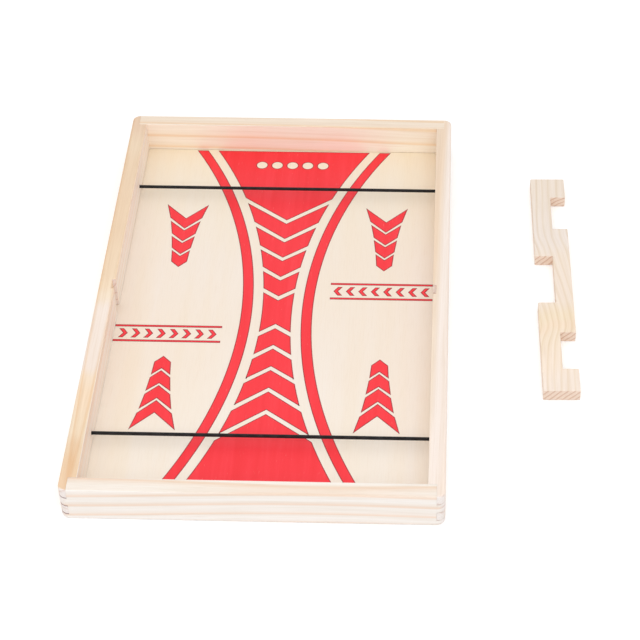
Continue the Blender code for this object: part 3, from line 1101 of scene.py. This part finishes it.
pick_end(model_brad, brad_head_thickness, 1)
bpy.ops.mesh.inset(thickness=(brad_head - brad_shank) / 2, depth=0)
bpy.ops.mesh.extrude_region_move(
    TRANSFORM_OT_translate={"value": (0, 0, brad_length - brad_head_thickness - brad_point)}
)
bpy.ops.mesh.extrude_region_move(TRANSFORM_OT_translate={"value": (0, 0, brad_point)})
bpy.ops.transform.resize(
    value=(brad_point_share, brad_point_share, 1), center_override=(0, 0, brad_length)
)
pick_end(model_brad, 0, -1)
bpy.ops.mesh.inset(thickness=brad_head * brad_face_share, depth=0)
bpy.ops.mesh.select_all(action="DESELECT")
bpy.ops.object.mode_set(mode="OBJECT")
round_edges(
    model_brad,
    lambda m, d: near(m.z, 0) and math.hypot(m.x, m.y) > brad_rim_from,
    brad_rim,
    brad_rim_steps,
)
ease_and_smooth(model_brad, 0)

side_brad_x = inside_x + brad_in_rail
end_brad_y = inside_y + brad_in_rail
brad_places = []
for count, share in enumerate((-0.9, -0.33, 0.33, 0.9), 1):
    brad_places.append((f"brad_left_{count}", -side_brad_x, share * inside_y))
    brad_places.append((f"brad_right_{count}", side_brad_x, share * inside_y))
for count, share in enumerate((-0.7, 0, 0.7), 1):
    brad_places.append((f"brad_near_{count}", share * inside_x, -end_brad_y))
    brad_places.append((f"brad_far_{count}", share * inside_x, end_brad_y))
for node, x, y in brad_places:
    brad = model_brad.copy()
    brad.data = model_brad.data.copy()
    bpy.context.scene.collection.objects.link(brad)
    brad.name = node.replace("brad", "round_brad")
    brad.location = (x, y, 0)
    only(brad)
    bpy.ops.object.transform_apply(location=True, rotation=True, scale=True)
    dress(brad, bright_steel, "tray", "steel", node)
bpy.data.objects.remove(model_brad, do_unlink=True)

# The gate board: a loose strip of planed pine, sawn with one long notch in one edge and two in the
# other. It lies on the table beside the tray, and stands in the side rails' grooves during play.
gate_width = 0.0225
gate_clearance = 0.0003
gate_half_length = inside_x + groove_depth - gate_clearance
gate_thickness = groove_width - 2 * gate_clearance
gate_edge = 0.0004
pair_notch_length = 0.0322
pair_notch_depth = 0.0099
pair_notch_from_end = 0.0197
single_notch_length = 0.0444
single_notch_depth = 0.0115
gate_place = (0.1775, 0.0297, 0)
gate_turn = math.radians(1.14)

gate_bar = start_block(
    "gate_bar",
    (-gate_width / 2, -gate_half_length, 0),
    (gate_width / 2, gate_half_length, gate_thickness),
)
for end in (-1, 1):
    notch_start = gate_half_length - pair_notch_from_end
    y = sorted((end * notch_start, end * (notch_start - pair_notch_length)))
    low = (gate_width / 2 - pair_notch_depth, y[0], -past)
    high = (gate_width / 2 + past, y[1], gate_thickness + past)
    work(gate_bar, start_block("pair_notch", low, high))
low = (-gate_width / 2 - past, -single_notch_length / 2, -past)
high = (-gate_width / 2 + single_notch_depth, single_notch_length / 2, gate_thickness + past)
work(gate_bar, start_block("single_notch", low, high))
ease_and_smooth(gate_bar, gate_edge)
gate_bar.rotation_euler = (0, 0, gate_turn)
gate_bar.location = gate_place
only(gate_bar)
bpy.ops.object.transform_apply(location=True, rotation=True, scale=True)
gate_pine = pine(
    "gate_pine",
    pith=(0.2180, 0.0297, -0.046),
    turn=(math.radians(-90.0), 0, gate_turn),
    ring_gap=0.0028,
    band=0.32,
    tones=[
        (0.23, (0.930, 0.810, 0.715)),
        (0.286, (0.945, 0.805, 0.680)),
        (0.343, (0.920, 0.780, 0.630)),
        (0.369, (0.930, 0.765, 0.605)),
        (0.394, (0.910, 0.770, 0.595)),
        (0.443, (0.910, 0.785, 0.680)),
        (0.557, (0.905, 0.785, 0.680)),
        (0.614, (0.875, 0.780, 0.710)),
        (0.771, (0.870, 0.765, 0.670)),
    ],
    late=(0.88, 0.82, 0.70),
    late_share=0.62,
    outer=("Y", -0.0532, -0.0505, (0.90, 0.720, 0.590)),
    end_tone=(0.875, 0.710, 0.590),
    end_share=0.62,
    wander=0.0045,
    seed=11.3,
    sweep=(
        (0.013, 0, 0),
        [
            (0.237, 0.54),
            (0.286, 0.60),
            (0.323, 0.67),
            (0.340, 0.73),
            (0.357, 0.88),
            (0.374, 1.0),
            (0.394, 0.98),
            (0.443, 0.80),
            (0.497, 0.57),
            (0.549, 0.32),
            (0.580, 0.29),
            (0.603, 0.14),
            (0.623, 0.02),
            (0.650, 0.0),
        ],
    ),
    glue_stain=0,
)
dress(gate_bar, gate_pine, "gate", "gate_pine", "gate_board")

# The table top: a plain matt white sheet, larger than anything in view. A faint glow, which lights
# nothing else, brings it to white for the camera, and the pieces' soft shadows stay on it.
table_size = 8
table_drop = 0.0001
table_glow = 0.26


def seen_straight(nodes):
    """One for what the camera sees, by way of a mirror or glass too, and nought for other light."""
    ray = add_node(nodes, "LightPath")
    seen = math_node(nodes, "ADD", ray.outputs["Is Camera Ray"], ray.outputs["Is Glossy Ray"])
    return math_node(nodes, "ADD", seen, ray.outputs["Is Transmission Ray"], clamp=True)


bpy.ops.object.select_all(action="DESELECT")
bpy.ops.mesh.primitive_plane_add(size=table_size, location=(0, 0, -table_drop))
table_top = bpy.context.object
table_top.name = "table_top"
table_white, nodes, shader = start_finish("table_white")
shader.inputs["Base Color"].default_value = (0.86, 0.86, 0.86, 1)
shader.inputs["Roughness"].default_value = 0.9
shader.inputs["Specular IOR Level"].default_value = 0.1
shader.inputs["Emission Color"].default_value = (1, 1, 1, 1)
glow = math_node(nodes, "MULTIPLY", seen_straight(nodes), table_glow)
feed(nodes, glow, shader, "Emission Strength")
table_top.data.materials.append(table_white)

# The light: an even white room, a wide soft lamp on each side of the camera, the right one stronger,
# and a weak one overhead.
room_level = 0.80
world = bpy.data.worlds.new("white_room")
bpy.context.scene.world = world
world.use_nodes = True
nodes = world.node_tree.nodes
room = nodes["Background"]
room.inputs["Color"].default_value = (1, 1, 1, 1)
shine = math_node(nodes, "MULTIPLY_ADD", seen_straight(nodes), 1 - room_level, room_level)
feed(nodes, shine, room, "Strength")
for name, place, width, power in (
    ("near_right_lamp", Vector((0.36, -1.10, 1.30)), 1.3, 6.9),
    ("near_left_lamp", Vector((-0.70, -1.00, 1.30)), 1.3, 3.0),
    ("top_lamp", Vector((-0.2, 0.3, 1.8)), 1.6, 2.0),
):
    lamp = bpy.data.lights.new(name, "AREA")
    lamp.shape = "SQUARE"
    lamp.size = width
    lamp.energy = power
    hung = bpy.data.objects.new(name, lamp)
    hung.location = place
    hung.rotation_euler = (-place).to_track_quat("-Z", "Y").to_euler()
    bpy.context.scene.collection.objects.link(hung)

# The camera stands at the near end, a little to the right of the tray, and looks down on it. Its small
# sideways shift goes with a picture that was cut off-centre out of a wider one.
sensor_width = 36
picture_pixels = 640
lens_pixels = 2000.7
camera_place = (0.10797, -0.93196, 0.86295)
camera_turn = math.radians(1.762)
camera_tilt = math.radians(90 - 42.879)
camera_roll = math.radians(-0.226)
lens = bpy.data.cameras.new("camera")
lens.sensor_width = sensor_width
lens.lens = lens_pixels / picture_pixels * sensor_width
lens.shift_x = -0.125
lens.clip_start = 0.05
lens.clip_end = 50
camera = bpy.data.objects.new("camera", lens)
camera.matrix_world = (
    Matrix.Translation(camera_place)
    @ Matrix.Rotation(camera_turn, 4, "Z")
    @ Matrix.Rotation(camera_tilt, 4, "X")
    @ Matrix.Rotation(camera_roll, 4, "Z")
)
bpy.context.scene.collection.objects.link(camera)
bpy.context.scene.camera = camera
bpy.context.scene.view_settings.view_transform = "Standard"
